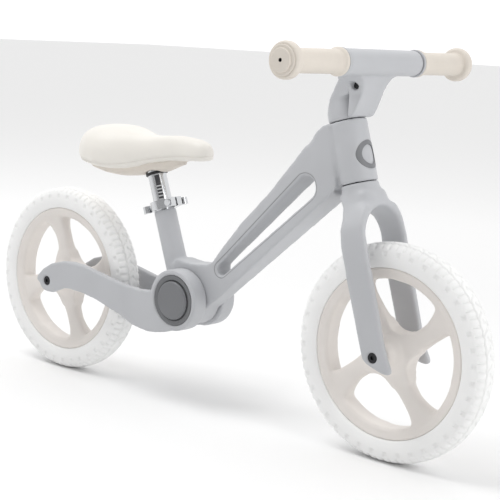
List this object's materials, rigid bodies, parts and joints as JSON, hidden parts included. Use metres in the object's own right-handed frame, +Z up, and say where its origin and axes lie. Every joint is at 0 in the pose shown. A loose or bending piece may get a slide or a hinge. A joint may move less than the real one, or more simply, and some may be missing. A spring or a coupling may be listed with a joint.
{
  "type": "balance bike",
  "caption": "Child's folding balance bike: cast grey frame with an elongated slot, cast spoked wheels on foam tyres, T-bar steering, padded saddle and push-button hinge.",
  "frame": {"origin": "on the ground, on the middle plane, midway between the two wheel axles", "axes": "+X forward (the way the bike rolls), +Y to the rider's left, +Z up"},
  "size_m": [0.915, 0.4, 0.5392],
  "materials": {
    "cast_grey": "fine matte grey paint on a magnesium casting",
    "cream_plastic": "matte cream plastic",
    "foam_white": "matte white foam",
    "grip_cream": "soft matte cream rubber",
    "saddle_cream": "smooth cream artificial leather",
    "dark_grey": "matte dark grey plastic",
    "button_grey": "matte mid grey plastic",
    "chrome": "bright chrome",
    "steel": "zinc-plated steel",
    "black_steel": "black oxide",
    "black_plastic": "black plastic"
  },
  "bodies": {
    "frame": {"main_frame": "cast_grey", "head_badge": "button_grey", "headset_upper": "black_steel", "headset_lower": "black_steel", "hinge_axle": "steel", "hinge_bushes": "black_plastic", "seat_collar": "chrome", "collar_bolt": "chrome", "cam_washer": "black_plastic"},
    "rear_arms": {"arm_right": "cast_grey", "arm_left": "cast_grey", "arm_bridge": "cast_grey", "bridge_screws": "black_steel", "hinge_cover_right": "dark_grey", "hinge_cover_left": "dark_grey", "rear_axle": "steel", "rear_bolts": "black_steel", "rear_spacers": "black_plastic"},
    "right_button": {"button_right": "button_grey"},
    "left_button": {"button_left": "button_grey"},
    "rear_wheel": {"rear_rim": "cream_plastic", "rear_tyre": "foam_white", "rear_bearings": "steel"},
    "steering": {"fork": "cast_grey", "steerer": "steel", "steering_stop": "steel", "stem_front": "cast_grey", "stem_back": "cast_grey", "stem_screws": "black_steel", "bar_tube": "steel", "bar_collars": "cast_grey", "grip_right": "grip_cream", "grip_left": "grip_cream", "grip_plugs": "grip_cream", "front_axle": "steel", "front_bolts": "black_steel", "front_spacers": "black_plastic"},
    "front_wheel": {"front_rim": "cream_plastic", "front_tyre": "foam_white", "front_bearings": "steel"},
    "seat": {"seat_post": "chrome", "post_scale": "dark_grey", "saddle_base": "cream_plastic", "saddle_pad": "saddle_cream", "saddle_gasket": "black_plastic"},
    "clamp_lever": {"cam_lever": "chrome"}
  },
  "joints": [
    {"name": "steering_turn", "type": "hinge", "parent": "frame", "child": "steering", "pos_m": [0.30964, 0, 0.1441], "axis": [-0.3007, 0, 0.9537], "range_deg": [-50, 50]},
    {"name": "front_wheel_spin", "type": "hinge", "parent": "steering", "child": "front_wheel", "pos_m": [0.3125, 0, 0.145], "axis": [0, 1, 0], "continuous": true},
    {"name": "rear_fold", "type": "hinge", "parent": "frame", "child": "rear_arms", "pos_m": [-0.045, 0, 0.158], "axis": [0, -1, 0], "range_deg": [0, 118]},
    {"name": "rear_wheel_spin", "type": "hinge", "parent": "rear_arms", "child": "rear_wheel", "pos_m": [-0.3125, 0, 0.145], "axis": [0, 1, 0], "continuous": true},
    {"name": "right_button_press", "type": "slide", "parent": "rear_arms", "child": "right_button", "axis": [0, 1, 0], "range_m": [0, 0.003], "stiffness_N_per_m": 600},
    {"name": "left_button_press", "type": "slide", "parent": "rear_arms", "child": "left_button", "axis": [0, -1, 0], "range_m": [0, 0.003], "stiffness_N_per_m": 600},
    {"name": "seat_height", "type": "slide", "parent": "frame", "child": "seat", "axis": [-0.3502, 0, 0.9367], "range_m": [-0.03, 0.03]},
    {"name": "clamp_lever_swing", "type": "hinge", "parent": "frame", "child": "clamp_lever", "pos_m": [-0.09123, 0.0215, 0.29347], "axis": [0.3502, 0, -0.9367], "range_deg": [0, 150]}
  ]
}
